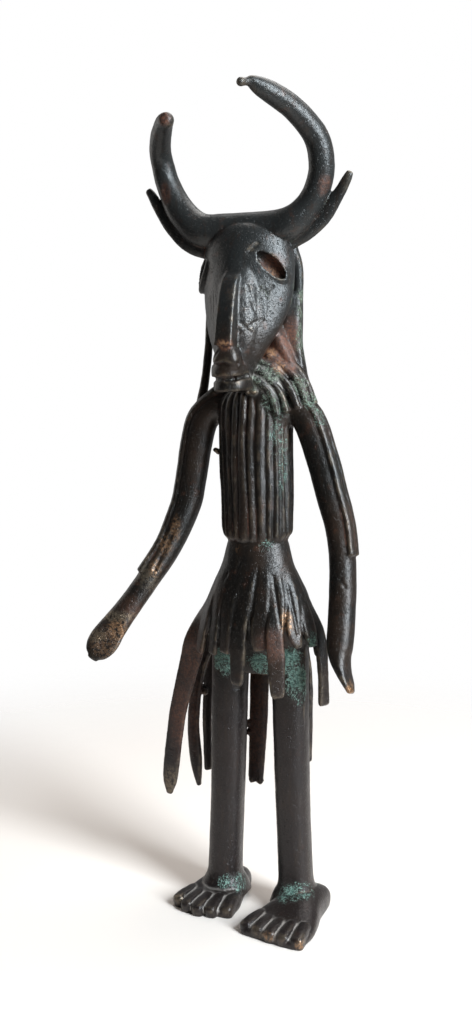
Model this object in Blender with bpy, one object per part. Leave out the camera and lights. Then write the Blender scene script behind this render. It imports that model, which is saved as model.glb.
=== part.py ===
# A cast bronze masked dancer on two flat feet: one casting, so one closed body.
# The dancer faces -Y and its left side is +X. The soles lie in the plane Z = 0.
# The form's tables are in millimetres on a figure 320 mm tall, and MM scales
# them to the height that is asked for. Sections of a limb are rows of
# x, y, z, half width, half thickness and, where it is flat, the way it faces
# in degrees from the front towards the dancer's left.
import math

import bmesh
import bpy
from mathutils import Matrix, Vector

# Driving sizes, in metres
FIGURE_HEIGHT = 0.320
LEG_RADIUS = 0.0067
HORN_RADIUS = 0.0048
ARM_RADIUS = 0.0055
TORSO_HALF_WIDTH = 0.0150
TORSO_HALF_DEPTH = 0.0108
STRAND_GROOVE = 0.0009
CAPE_HALF_WIDTH = 0.0156
ARM_STRAND_WIDTH = 0.0042
SKIRT_STRIP_THICKNESS = 0.0023
TOE_HALF_WIDTH = 0.0029
EYE_DEPTH = 0.0032

# Counts
TORSO_STRANDS = 22
CAPE_STRANDS = 14
TOES = 5

MM = FIGURE_HEIGHT / 320.0

# Levels of the body, each standing on the one below it, in millimetres
ANKLE = 9.0
CROTCH = ANKLE + 93.0
WAIST = CROTCH + 49.0
ARMPIT = WAIST + 42.0
SHOULDER = ARMPIT + 14.0
CHIN = SHOULDER + 3.0
EYE = CHIN + 48.0
BROW = EYE + 13.0

FRONT = Vector((0.0, -1.0, 0.0))
UP = Vector((0.0, 0.0, 1.0))


def clearScene():
    for item in list(bpy.data.objects):
        bpy.data.objects.remove(item, do_unlink=True)


def bronze():
    material = bpy.data.materials.new("dark_bronze")
    material.use_nodes = True
    shader = material.node_tree.nodes["Principled BSDF"]
    shader.inputs["Base Color"].default_value = (0.045, 0.037, 0.032, 1.0)
    shader.inputs["Metallic"].default_value = 0.8
    shader.inputs["Roughness"].default_value = 0.42
    return material


def facingAt(degrees):
    return Vector((math.sin(math.radians(degrees)), -math.cos(math.radians(degrees)), 0.0))


def addRing(bm, centre, along, facing, size, sides, roundness):
    """An oval ring square across its run. Roundness 1 is an ellipse, and less is boxier."""
    side = along.cross(facing).normalized()
    front = side.cross(along).normalized()
    place = Matrix.Translation(centre * MM) @ Matrix((side, front, along)).transposed().to_4x4()
    ring = bmesh.ops.create_circle(bm, segments=sides, radius=1.0)["verts"]
    bmesh.ops.rotate(bm, verts=ring, matrix=Matrix.Rotation(math.pi / sides, 3, "Z"))
    for vert in ring:
        x = math.copysign(abs(vert.co.x) ** roundness, vert.co.x) * size[0] * MM
        y = math.copysign(abs(vert.co.y) ** roundness, vert.co.y) * size[1] * MM
        vert.co = place @ Vector((x, y, 0.0))
    return ring, front


def ringEdges(ring):
    return list({edge for vert in ring for edge in vert.link_edges})


def newObject(bm, name):
    mesh = bpy.data.meshes.new(name)
    bm.to_mesh(mesh)
    bm.free()
    made = bpy.data.objects.new(name, mesh)
    bpy.context.collection.objects.link(made)
    return made


def closeLoft(bm, loops, name):
    for lower, upper in zip(loops, loops[1:]):
        bmesh.ops.bridge_loops(bm, edges=lower + upper)
    bmesh.ops.holes_fill(bm, edges=bm.edges[:], sides=0)
    bmesh.ops.recalc_face_normals(bm, faces=bm.faces[:])
    return newObject(bm, name)


def limb(name, sections, sides=10, facing=FRONT, roundness=1.0, ends=(0.62, 0.62)):
    """A round or flat run of metal through its sections, each end drawn in by its share."""
    last = len(sections) - 1
    points = [Vector(row[:3]) for row in sections]
    alongs = [(points[min(i + 1, last)] - points[max(i - 1, 0)]).normalized() for i in range(last + 1)]
    stations = []
    for row, point, along in zip(sections, points, alongs):
        turn = row[5] if len(row) > 5 else None
        stations.append((point, along, Vector(row[3:5]), turn))
    for end, place, way in ((ends[0], 0, -1.0), (ends[1], last, 1.0)):
        if end:
            point, along, size, turn = stations[place if way < 0.0 else -1]
            beyond = (point + along * way * min(size) * 0.7, along, size * end, turn)
            stations.insert(0 if way < 0.0 else len(stations), beyond)
    bm = bmesh.new()
    loops = []
    front = facing
    for point, along, size, turn in stations:
        if turn is not None:
            front = facingAt(turn)
        ring, front = addRing(bm, point, along, front, size, sides, roundness)
        loops.append(ringEdges(ring))
    return closeLoft(bm, loops, name)


def stacked(name, rows, sides, shape):
    """A body of level rings: shape gives the x and y of each row at an angle from the front."""
    bm = bmesh.new()
    loops = []
    for row in rows:
        ring = bmesh.ops.create_circle(bm, segments=sides, radius=1.0)["verts"]
        for index, vert in enumerate(ring):
            x, y = shape(row, index * math.tau / sides)
            vert.co = Vector((x, y, row[0])) * MM
        loops.append(ringEdges(ring))
    return closeLoft(bm, loops, name)


def ribbed(row, angle, strands):
    """A point of an oval of strands. A row is level, centre x and y, half width and depth, groove."""
    share = (angle / math.tau * strands) % 1.0
    cut = row[5] * STRAND_GROOVE / MM if min(share, 1.0 - share) < 0.1 else 0.0
    x = row[1] + (row[3] - cut) * math.sin(angle)
    y = row[2] - (row[4] - cut) * math.cos(angle)
    return x, y


# Torso: a costume of long strands, ribbed all round
def torso():
    wide = TORSO_HALF_WIDTH / MM
    deep = TORSO_HALF_DEPTH / MM
    rows = [
        (WAIST - 1.5, 1.8, 0.0, wide * 0.76, deep * 0.80, 0.0),
        (WAIST + 1.5, 1.7, 0.0, wide * 0.85, deep * 0.87, 0.6),
        (WAIST + 4.5, 1.4, 0.0, wide * 0.96, deep * 0.96, 1.0),
        (WAIST + 20.0, 1.2, 0.0, wide * 0.98, deep, 1.0),
        (ARMPIT, 0.7, 0.0, wide, deep, 1.0),
        (SHOULDER - 5.0, 0.6, 0.0, wide * 1.02, deep * 0.97, 1.0),
        (SHOULDER, 0.4, 0.0, wide * 0.88, deep * 0.88, 0.7),
        (SHOULDER + 4.5, 0.2, 0.0, wide * 0.56, deep * 0.66, 0.0),
    ]
    return stacked("torso", rows, TORSO_STRANDS * 3, lambda row, angle: ribbed(row, angle, TORSO_STRANDS))


# Cape: a ribbed mass behind the mask, with a free strand down each side
def cape():
    wide = CAPE_HALF_WIDTH / MM
    rows = [
        (SHOULDER - 13.0, 0.6, 1.6, wide * 0.84, 8.0, 0.0),
        (SHOULDER - 4.0, 0.4, 2.4, wide * 1.04, 8.8, 1.0),
        (CHIN + 4.0, 0.2, 4.4, wide * 0.98, 8.4, 1.0),
        (CHIN + 16.0, 0.0, 5.8, wide * 0.96, 8.4, 1.0),
        (CHIN + 32.0, -0.4, 6.0, wide, 9.0, 1.0),
        (EYE - 1.0, -0.6, 5.4, wide * 1.06, 9.4, 1.0),
        (BROW - 3.0, -0.8, 4.0, wide * 0.94, 8.0, 0.6),
        (BROW + 3.0, -0.8, 1.0, wide * 0.60, 5.0, 0.0),
    ]
    left = [
        (14.8, 1.5, BROW - 6.0, 2.4, 2.2),
        (16.6, 4.0, EYE - 1.0, 2.1, 2.0),
        (16.4, 5.5, CHIN + 34.0, 1.9, 1.9),
        (16.2, 6.0, CHIN + 17.0, 2.0, 2.0),
        (18.8, 4.2, CHIN + 5.0, 2.3, 2.0),
        (23.4, 2.0, SHOULDER - 3.0, 2.3, 1.8),
    ]
    right = [
        (-17.0, 1.5, BROW - 8.0, 2.6, 2.2),
        (-20.4, 3.5, EYE + 1.0, 2.4, 2.0),
        (-20.8, 5.0, CHIN + 32.0, 1.9, 1.8),
        (-21.8, 5.0, CHIN + 16.0, 1.7, 1.7),
        (-23.2, 4.0, CHIN + 2.0, 1.9, 1.8),
        (-25.0, 2.0, SHOULDER - 7.0, 2.2, 1.8),
    ]
    body = stacked("cape", rows, CAPE_STRANDS * 3, lambda row, angle: ribbed(row, angle, CAPE_STRANDS))
    return [body, limb("left_side_strand", left, sides=7), limb("right_side_strand", right, sides=7)]


# Mask: two flat cheeks that meet in a long muzzle, under a domed brow
def mask():
    # level, half width, front, edge, back, flatness of the cheeks
    rows = [
        (CHIN - 1.0, 5.8, -20.0, -13.0, -9.0, 1.2),
        (CHIN + 1.5, 7.4, -21.4, -12.5, -8.0, 1.3),
        (CHIN + 7.0, 8.2, -21.8, -12.0, -7.0, 1.4),
        (CHIN + 14.0, 11.0, -21.6, -11.0, -4.0, 1.5),
        (CHIN + 21.0, 14.3, -21.0, -8.5, 0.0, 1.5),
        (CHIN + 28.0, 17.0, -20.0, -5.5, 3.0, 1.45),
        (CHIN + 35.0, 18.8, -18.8, -3.6, 6.0, 1.4),
        (EYE - 3.0, 19.3, -17.4, -3.0, 8.0, 1.3),
        (EYE + 4.0, 18.6, -16.2, -3.0, 8.5, 1.15),
        (EYE + 10.0, 16.6, -14.8, -3.0, 8.0, 1.05),
        (BROW + 1.0, 12.4, -12.6, -3.0, 6.5, 1.0),
        (BROW + 3.2, 7.0, -9.4, -3.0, 3.0, 1.0),
    ]

    def shape(row, angle):
        x = math.sin(angle)
        y = math.cos(angle)
        flat = row[5] if y > 0.0 else 1.0
        reach = (row[3] - row[2]) if y > 0.0 else (row[4] - row[3])
        x = math.copysign(abs(x) ** flat, x) * row[1]
        y = row[3] - math.copysign(abs(y) ** flat, y) * reach
        return x, y

    return stacked("mask", rows, 18, shape)


def muzzle():
    """The nose bar, the nose under it, and the two lips."""
    bar = [
        (-0.4, -15.6, EYE - 2.0, 2.4, 2.0),
        (-0.8, -19.0, EYE - 9.0, 3.0, 3.0),
        (-1.2, -21.8, CHIN + 31.0, 3.1, 3.2),
        (-1.4, -23.6, CHIN + 17.0, 3.1, 2.8),
    ]
    nose = [
        (-0.4, -20.4, CHIN + 17.5, 4.2, 3.0),
        (-0.3, -21.2, CHIN + 12.5, 5.2, 3.4),
        (0.0, -20.6, CHIN + 9.0, 5.2, 3.0),
    ]
    upper = [(-8.0, -15.5, 5.4), (-4.4, -20.8, 6.0), (0.0, -22.2, 6.2), (4.4, -20.8, 6.0), (8.0, -15.5, 5.4)]
    lower = [(-7.6, -14.5, 1.6), (-4.0, -19.6, 1.4), (0.0, -21.0, 1.3), (4.0, -19.6, 1.4), (7.6, -14.5, 1.6)]
    return [
        limb("nose_bar", bar, sides=8, roundness=0.5, ends=(0.62, 0.0)),
        limb("nose", nose, sides=10),
        limb("upper_lip", [(x, y, CHIN + z, 2.0, 2.8) for x, y, z in upper], sides=8),
        limb("lower_lip", [(x, y, CHIN + z, 2.5, 2.6) for x, y, z in lower], sides=8),
    ]


# Each eye: its side, its middle and the way it looks. The right one lies further round
EYES = [
    (1.0, Vector((12.8, -9.8, EYE - 1.2)), Vector((0.62, -0.76, 0.18)).normalized()),
    (-1.0, Vector((-17.6, -7.0, EYE - 2.8)), Vector((-0.78, -0.60, 0.14)).normalized()),
]


def eyeOval(name, eye, length, width, depth, sink):
    """A flat oval on the cheek, slanting down and outward."""
    side, centre, outward = eye
    slant = Vector((side * 0.50, 0.28, -0.82))
    long = (slant - outward * slant.dot(outward)).normalized()
    short = outward.cross(long)
    centre = centre - outward * sink
    turn = Matrix((long, short, outward)).transposed().to_4x4()
    size = Matrix.Diagonal((length * MM, width * MM, depth * MM, 1.0))
    bm = bmesh.new()
    bmesh.ops.create_uvsphere(bm, u_segments=12, v_segments=6, radius=1.0)
    bm.transform(Matrix.Translation(centre * MM) @ turn @ size)
    return newObject(bm, name)


def turnedToTheRight(pieces):
    """The mask looks a little to the dancer's right."""
    turn = Matrix.Translation((-1.0 * MM, 0.0, 0.0)) @ Matrix.Rotation(math.radians(-6.0), 4, "Z")
    for piece in pieces:
        piece.data.transform(turn)
    return pieces


# Horns: one bar of metal from tip to tip, across the top of the head
def horns():
    thick = HORN_RADIUS / MM
    spread = [
        (-21.8, -32.6, 37.3, 0.58),
        (-24.5, -28.6, 37.5, 0.68),
        (-27.5, -24.0, 36.7, 0.77),
        (-31.5, -17.8, 34.1, 0.85),
        (-34.3, -12.0, 30.0, 0.89),
        (-34.4, -8.8, 24.4, 0.94),
        (-33.0, -7.2, 18.4, 1.00),
        (-28.4, -6.0, 8.8, 1.17),
        (-20.4, -5.6, 1.7, 1.32),
        (-9.0, -4.8, 0.6, 1.36),
        (9.0, -4.8, 0.6, 1.36),
        (17.4, -5.8, 2.2, 1.28),
        (23.6, -6.2, 7.2, 1.08),
        (27.8, -7.0, 13.6, 1.04),
        (30.0, -9.0, 21.0, 1.02),
        (29.4, -12.0, 29.4, 0.98),
        (26.6, -16.0, 34.9, 0.92),
        (22.6, -21.0, 39.6, 0.88),
        (18.8, -26.0, 42.5, 0.84),
        (15.0, -31.0, 44.6, 0.72),
        (12.3, -34.4, 46.0, 0.48),
        (10.8, -36.4, 45.8, 0.28),
        (9.2, -38.4, 45.4, 0.34),
    ]
    rows = [(x, y, BROW + rise, thick * share, thick * share) for x, y, rise, share in spread]
    return limb("horns", rows, sides=10, facing=UP)


def ears():
    left = [
        (12.0, -2.0, BROW - 4.8, 4.2, 2.6),
        (22.0, -3.6, BROW - 0.8, 4.2, 2.4),
        (29.6, -4.6, BROW + 4.4, 3.6, 2.0),
        (35.2, -5.6, BROW + 10.8, 2.5, 1.6),
        (38.8, -6.6, BROW + 16.0, 1.7, 1.2),
        (40.2, -7.0, BROW + 18.4, 0.9, 0.8),
    ]
    right = [
        (-12.0, -2.0, BROW - 6.8, 4.2, 2.6),
        (-24.0, -3.6, BROW - 3.6, 4.2, 2.4),
        (-31.6, -4.8, BROW + 2.0, 3.2, 2.0),
        (-36.8, -6.0, BROW + 8.8, 2.4, 1.6),
        (-40.4, -6.8, BROW + 15.2, 1.8, 1.2),
        (-42.2, -7.0, BROW + 18.0, 1.0, 0.8),
    ]
    return [limb("left_ear", left, sides=8), limb("right_ear", right, sides=8)]


# Arms, with strands of the costume laid along their outer sides
def arms():
    thick = ARM_RADIUS / MM
    right = [
        (-7.0, 1.0, SHOULDER - 5.0, 0.95, 1.00),
        (-15.8, 0.8, SHOULDER - 4.0, 1.12, 1.08),
        (-21.6, 0.2, SHOULDER - 8.6, 1.12, 1.08),
        (-24.6, 0.0, ARMPIT - 6.0, 1.10, 1.06),
        (-27.0, 0.0, WAIST + 22.0, 1.08, 1.04),
        (-29.2, -1.0, WAIST + 11.5, 1.06, 1.04),
        (-34.6, -6.0, WAIST - 4.2, 0.94, 0.92),
        (-40.6, -12.0, WAIST - 16.0, 0.90, 0.84),
        (-46.2, -17.0, WAIST - 26.0, 0.92, 0.74),
        (-50.8, -21.6, WAIST - 33.8, 1.04, 0.56),
        (-54.2, -25.0, WAIST - 39.8, 1.20, 0.40),
        (-56.6, -27.2, WAIST - 44.2, 1.02, 0.32),
        (-57.6, -28.2, WAIST - 46.8, 0.60, 0.24),
    ]
    left = [
        (7.0, 1.0, SHOULDER - 3.0, 0.95, 1.00),
        (15.2, 0.8, SHOULDER - 3.0, 1.12, 1.06),
        (22.0, 0.2, SHOULDER - 8.6, 1.10, 1.08),
        (27.6, 0.0, ARMPIT - 9.0, 1.08, 1.06),
        (32.4, -1.0, WAIST + 17.6, 1.06, 1.04),
        (35.8, -2.2, WAIST + 7.0, 1.02, 1.02),
        (37.8, -3.6, WAIST - 4.0, 0.98, 1.00),
        (38.8, -6.0, WAIST - 20.6, 1.00, 0.98),
        (39.0, -10.0, WAIST - 36.8, 0.94, 0.98),
        (39.9, -12.0, WAIST - 43.6, 0.80, 1.02),
        (42.2, -13.8, WAIST - 49.4, 0.62, 0.98),
        (44.6, -15.2, WAIST - 53.2, 0.36, 0.62),
    ]
    made = []
    for name, table, side, strands in (
        ("right_arm", right, -1.0, ((0.0, 7), (48.0, 7), (-50.0, 6))),
        ("left_arm", left, 1.0, ((-6.0, 6), (38.0, 6), (-50.0, 5))),
    ):
        rows = [(x, y, z, wide * thick, deep * thick) for x, y, z, wide, deep in table]
        made.append(limb(name, rows, sides=10))
        for lean, last in strands:
            made.append(armStrand(name + "_strand", rows, side, lean, last))
    return made


def armStrand(name, arm, side, lean, last):
    """A strand down an arm to its given section, leaning from the outer side to the front."""
    half = ARM_STRAND_WIDTH / MM * 0.5
    turn = math.radians(lean)
    rows = []
    for index in range(1, last + 1):
        here = Vector(arm[index][:3])
        along = (Vector(arm[index + 1][:3]) - Vector(arm[index - 1][:3])).normalized()
        across = along.cross(FRONT).normalized()
        if across.x * side < 0.0:
            across.negate()
        front = (FRONT - along * FRONT.dot(along)).normalized()
        out = across * math.cos(turn) * arm[index][3] + front * math.sin(turn) * arm[index][4]
        rows.append((*(here + out * 0.92), half, 1.3, (90.0 - lean) * side))
    start = rows[0]
    rows.insert(0, (start[0] * 0.72, start[1] + 0.6, start[2] + 1.6, half, 1.3, start[5]))
    return limb(name, rows, sides=6, roundness=0.85)


# Hips and skirt: a fringe of flat strips of many lengths round a hip block.
# A row of the hips is level, centre x, half width and half depth.
HIPS = [
    (WAIST + 1.5, 1.8, 11.2, 8.8),
    (WAIST - 1.0, 1.8, 11.6, 9.0),
    (CROTCH + 38.0, 1.8, 14.2, 10.4),
    (CROTCH + 28.0, 2.0, 19.3, 12.0),
    (CROTCH + 18.0, 2.2, 23.2, 13.0),
    (CROTCH + 8.0, 2.4, 22.4, 12.0),
    (CROTCH + 1.5, 2.8, 18.4, 9.0),
    (CROTCH - 1.0, 2.8, 15.0, 6.5),
]

# Each strip: its angle round the waist, the way its free part faces, and that part's
# rows of x, y, height over the crotch and half width
FRINGE = {
    "side_right": (-76, -22, [(-23.8, -2.0, 8, 4.4), (-27.8, 0, -4, 4.3), (-34.2, 1, -25, 4.0), (-37.6, 1, -48, 3.9),
                              (-38.2, 1, -60, 1.6)]),
    "second_right": (-112, -150, [(-21.8, 8, 6, 2.8), (-27.6, 9, -8, 2.6), (-30.8, 9, -30, 2.8), (-29.8, 9, -48, 3.0),
                                  (-28.4, 9, -59, 1.0)]),
    "third_right": (-136, -140, [(-18.8, 11.5, 6, 2.6), (-24.4, 12, -8, 2.2), (-25.8, 12, -30, 2.0),
                                 (-25.4, 12, -52.5, 1.7)]),
    "back_right": (-158, -165, [(-8.6, 13.8, 6, 3.4), (-12.8, 14.5, -22, 3.2), (-14.0, 15, -54, 2.6)]),
    "back_middle": (180, 180, [(-1.4, 14.2, 6, 3.4), (-2.8, 13.6, -9, 3.5), (-3.0, 13.2, -30, 3.5),
                               (-3.9, 13.2, -56, 3.0)]),
    "back_left": (158, 165, [(10.4, 13.8, 6, 3.4), (12.2, 14.5, -22, 3.2), (12.8, 15, -50, 2.6)]),
    "third_left": (136, 140, [(17.6, 11.2, 6, 2.6), (19.4, 12, -8, 2.2), (19.8, 12, -26, 1.9), (19.8, 12, -43, 1.5)]),
    "short_back_left": (114, 112, [(22.6, 6.6, 14, 2.8), (24.6, 7, 3, 2.0)]),
    "side_left": (92, 60, [(27.6, 0.4, 12, 2.8), (29.4, 0, -3, 2.5), (29.8, 0, -15, 2.6)]),
    "short_left": (73, 70, [(25.0, -4.6, 18, 3.0), (26.6, -5, 11.5, 2.2)]),
    "front_left": (54, 50, [(21.0, -9.4, 18, 3.2), (22.6, -10.4, 11.5, 1.8)]),
    "long_front_left": (32, 22, [(13.8, -14.6, 16, 3.3), (14.6, -15.8, 4, 3.4), (15.4, -16.2, -8, 2.6)]),
    "middle_front": (12, 10, [(7.4, -15.0, 16, 3.2), (8.0, -15.4, 10, 2.6)]),
    "long_front_right": (-8, -8, [(-0.6, -14.6, 16, 3.2), (-0.4, -15.4, 6, 3.1), (-0.3, -15.6, -4.5, 2.4)]),
    "short_front_right": (-26, -26, [(-6.8, -13.4, 16, 3.0), (-7.4, -13.8, 5.5, 2.6)]),
    "front_right": (-45, -42, [(-12.4, -10.8, 16, 3.0), (-13.6, -11.4, 4, 2.4)]),
    "short_right": (-61, -54, [(-17.4, -7.4, 16, 2.9), (-20.8, -7.6, 3.5, 2.4)]),
}


def hipSpot(row, angle):
    return row[1] + row[2] * math.sin(angle), -row[3] * math.cos(angle)


def hips():
    return stacked("hips", HIPS, 24, hipSpot)


def skirt():
    thick = SKIRT_STRIP_THICKNESS / MM * 0.5
    strips = []
    for name, (angle, facing, free) in FRINGE.items():
        wide = free[0][3]
        rows = []
        for row, share in zip(HIPS[1:5], (0.66, 0.76, 0.88, 1.0)):
            x, y = hipSpot(row, math.radians(angle))
            rows.append((x, y, row[0], wide * share, thick * 1.15, angle + (facing - angle) * (share - 0.66)))
        for x, y, rise, half in free:
            rows.append((x, y, CROTCH + rise, half, thick, facing))
        strips.append(limb(name, rows, sides=6, roundness=0.8))
    return strips


# Legs and feet
def legs():
    thick = LEG_RADIUS / MM
    made = []
    for name, low, high in (("right_leg", -12.6, -9.8), ("left_leg", 18.6, 15.0)):
        rows = []
        for share, level, swell in (
            (0.0, 3.0, 1.50),
            (0.01, ANKLE - 0.5, 1.34),
            (0.03, ANKLE + 4.5, 1.05),
            (0.10, ANKLE + 9.0, 0.97),
            (0.50, CROTCH * 0.5, 0.97),
            (0.80, CROTCH - 12.0, 1.02),
            (1.0, CROTCH + 14.0, 1.06),
        ):
            x = low + (high - low) * share
            rows.append((x, 0.4, level, thick * swell, thick * swell))
        made.append(limb(name, rows, sides=12, ends=(0.0, 0.0)))
    return made


def foot(name, heel, outer, inner, arch, root_share):
    """A flat foot from the heel to the line between its outermost and innermost toe. The
    toes start at their share of the way to that line, and reach past it by the arch."""
    toe = TOE_HALF_WIDTH / MM
    heel = Vector(heel)
    inner = Vector(inner)
    outer = Vector(outer)
    front = (inner + outer) * 0.5
    across = (inner - outer).normalized()
    forward = (front - heel).normalized()
    half = (inner - outer).length * 0.5
    rows = []
    for share, wide, top in (
        (0.00, 4.6, 6.0),
        (0.06, 6.0, 7.8),
        (0.22, 7.4, 9.2),
        (0.42, 9.4, 9.8),
        (0.60, half * 0.86, 8.2),
        (0.78, half * 0.96, 5.8),
        (0.92, half * 0.97, 4.2),
    ):
        spot = heel.lerp(front, share)
        rows.append((spot.x, spot.y, top * 0.28, wide, top * 0.72))
    made = [limb(name, rows, sides=12, facing=UP)]
    for index in range(TOES):
        share = (index + 0.5) / TOES
        tip = outer.lerp(inner, share) + forward * arch * math.sin(share * math.pi)
        root = heel.lerp(front, root_share) + across * (share - 0.5) * half * 1.75
        base = root.lerp(tip, 0.6)
        tip = tip - forward * toe * 0.5
        rows = [
            (root.x, root.y, 4.4, toe * 0.8, 3.2),
            (base.x, base.y, 3.0, toe * 1.02, 3.2),
            (tip.x, tip.y, 2.2, toe * 0.96, 2.7),
        ]
        made.append(limb(name + "_toe", rows, sides=8, facing=UP))
    return made


def feet():
    right = foot("right_foot", (-11.2, 14.6), (-29.4, -14.8), (-2.4, -17.4), 6.2, 0.50)
    left = foot("left_foot", (25.2, 11.0), (32.4, -32.6), (4.2, -26.6), 2.0, 0.55)
    return right + left


def combine(base, pieces, operation):
    group = bpy.data.collections.new("pieces")
    bpy.context.scene.collection.children.link(group)
    for piece in pieces:
        group.objects.link(piece)
    join = base.modifiers.new(operation, "BOOLEAN")
    join.operation = operation
    join.solver = "EXACT"
    join.operand_type = "COLLECTION"
    join.collection = group
    bpy.context.view_layer.update()
    graph = bpy.context.evaluated_depsgraph_get()
    mesh = bpy.data.meshes.new_from_object(base.evaluated_get(graph))
    base.modifiers.clear()
    base.data = mesh
    for piece in pieces:
        bpy.data.objects.remove(piece, do_unlink=True)
    bpy.data.collections.remove(group)


def stand(base):
    """Cuts away what is under the floor, so that each sole is one flat face, and sets the
    origin in the middle of the figure's footprint."""
    bm = bmesh.new()
    bm.from_mesh(base.data)
    everything = bm.verts[:] + bm.edges[:] + bm.faces[:]
    bmesh.ops.bisect_plane(bm, geom=everything, plane_co=(0, 0, 0), plane_no=(0, 0, -1), clear_outer=True)
    bmesh.ops.holes_fill(bm, edges=[edge for edge in bm.edges if edge.is_boundary], sides=0)
    bmesh.ops.recalc_face_normals(bm, faces=bm.faces[:])
    xs = [vert.co.x for vert in bm.verts]
    ys = [vert.co.y for vert in bm.verts]
    shift = Vector(((min(xs) + max(xs)) * -0.5, (min(ys) + max(ys)) * -0.5, 0.0))
    bmesh.ops.translate(bm, verts=bm.verts[:], vec=shift)
    bm.to_mesh(base.data)
    bm.free()
    print("shift to the middle of the footprint, mm:", [round(value * 1000, 3) for value in shift])


def main():
    clearScene()
    head = [mask()] + muzzle()
    head += [eyeOval("eye_rim", eye, 8.4, 4.6, 2.6, 0.6) for eye in EYES]
    holes = [eyeOval("eye_hole", eye, 6.9, 3.0, EYE_DEPTH / MM, 0.0) for eye in EYES]
    turnedToTheRight(head + holes)
    figure = torso()
    combine(figure, [hips(), horns()] + head + ears() + cape() + arms() + skirt() + legs() + feet(), "UNION")
    combine(figure, holes, "DIFFERENCE")
    stand(figure)
    figure.name = "bronze_figure"
    figure.data.name = "bronze_figure"
    figure.data.materials.clear()
    figure.data.materials.append(bronze())
    figure.data.shade_smooth()
    figure.data.set_sharp_from_angle(angle=math.radians(40.0))
    print("triangles", sum(len(face.vertices) - 2 for face in figure.data.polygons))


main()
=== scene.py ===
import math

import bmesh
import bpy
import numpy as np
from mathutils import Matrix, Vector, noise


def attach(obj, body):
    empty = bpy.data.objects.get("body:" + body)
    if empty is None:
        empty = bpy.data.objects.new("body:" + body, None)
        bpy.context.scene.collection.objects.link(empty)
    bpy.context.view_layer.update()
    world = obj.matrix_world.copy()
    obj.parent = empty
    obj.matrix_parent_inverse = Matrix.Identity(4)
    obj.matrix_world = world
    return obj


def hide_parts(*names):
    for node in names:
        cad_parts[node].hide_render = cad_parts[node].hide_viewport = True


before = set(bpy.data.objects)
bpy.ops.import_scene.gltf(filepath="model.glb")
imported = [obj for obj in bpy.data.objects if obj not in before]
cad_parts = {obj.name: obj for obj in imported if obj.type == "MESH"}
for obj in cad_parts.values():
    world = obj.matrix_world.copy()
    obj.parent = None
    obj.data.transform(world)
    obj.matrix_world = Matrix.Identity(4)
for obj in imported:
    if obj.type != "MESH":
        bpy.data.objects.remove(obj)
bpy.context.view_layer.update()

mm = 0.001
frontWay = Vector((0.0, -1.0, 0.0))
upWay = Vector((0.0, 0.0, 1.0))

# the tables are in millimetres from the dancer's own axis, and the casting stands this far off it
footprintShift = Vector((7.64, 10.81, 0.0))

# Levels of the body, in millimetres
ankle = 9.0
crotch = 102.0
waist = 151.0
armpit = 193.0
shoulder = 207.0
chin = 210.0
eye = 258.0
brow = 271.0


# Building tools

def curvedRows(rows, steps):
    # a smooth run of rows through the given ones
    rows = [np.array(row, float) for row in rows]
    ends = [rows[0] * 2 - rows[1]] + rows + [rows[-1] * 2 - rows[-2]]
    run = []
    for index in range(len(rows) - 1):
        a, b, c, d = ends[index:index + 4]
        for step in range(steps):
            t = step / steps
            run.append(0.5 * (2 * b + (c - a) * t + (2 * a - 5 * b + 4 * c - d) * t ** 2
                              + (3 * b - a - 3 * c + d) * t ** 3))
    run.append(rows[-1])
    return run


def facingAt(degrees):
    turn = math.radians(degrees)
    return Vector((math.sin(turn), -math.cos(turn), 0.0))


def ringAt(bm, centre, along, facing, sides, outline):
    # outline gives the x and y of a point of the ring at an angle
    side = along.cross(facing).normalized()
    front = side.cross(along).normalized()
    place = Matrix.Translation(centre) @ Matrix((side, front, along)).transposed().to_4x4()
    ring = bmesh.ops.create_circle(bm, segments=sides, radius=1.0)["verts"]
    for index, vert in enumerate(ring):
        x, y = outline(index * math.tau / sides)
        vert.co = place @ Vector((x, y, 0.0))
    return list({edge for vert in ring for edge in vert.link_edges}), front


def closeLoft(bm, loops):
    for lower, upper in zip(loops, loops[1:]):
        bmesh.ops.bridge_loops(bm, edges=lower + upper)
    bmesh.ops.holes_fill(bm, edges=bm.edges[:], sides=0)
    bmesh.ops.recalc_face_normals(bm, faces=bm.faces[:])
    mesh = bpy.data.meshes.new("part")
    bm.to_mesh(mesh)
    bm.free()
    return mesh


def limb(rows, sides=24, steps=6, facing=frontWay, roundness=1.0, ends=(1.0, 1.0), turned=False):
    # rows are x, y, z, half width, half thickness and, if turned, the way it faces in degrees
    run = curvedRows(rows, steps)
    last = len(run) - 1
    points = [Vector(row[:3]) for row in run]
    stations = []
    for index, row in enumerate(run):
        along = (points[min(index + 1, last)] - points[max(index - 1, 0)]).normalized()
        stations.append([points[index], along, max(row[3], 0.1), max(row[4], 0.1), row[5] if turned else None])
    for end, way in ((0, -1.0), (1, 1.0)):  # a rounded end
        if ends[end] <= 0.0:
            continue
        point, along, wide, deep, turn = stations[0 if way < 0 else -1]
        for share in (0.35, 0.62, 0.84, 0.97):
            shrink = math.sqrt(1.0 - share ** 2)
            reach = min(wide, deep) * share * ends[end]
            cap = [point + along * way * reach, along, wide - min(wide, deep) * (1 - shrink),
                   deep - min(wide, deep) * (1 - shrink), turn]
            stations.insert(0 if way < 0 else len(stations), cap)
    bm = bmesh.new()
    loops = []
    front = facing
    for point, along, wide, deep, turn in stations:
        if turn is not None:
            front = facingAt(turn)

        def outline(angle, wide=wide, deep=deep):
            x, y = math.cos(angle), math.sin(angle)
            return (math.copysign(abs(x) ** roundness, x) * wide, math.copysign(abs(y) ** roundness, y) * deep)

        loop, front = ringAt(bm, point, along, front, sides, outline)
        loops.append(loop)
    return closeLoft(bm, loops)


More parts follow.
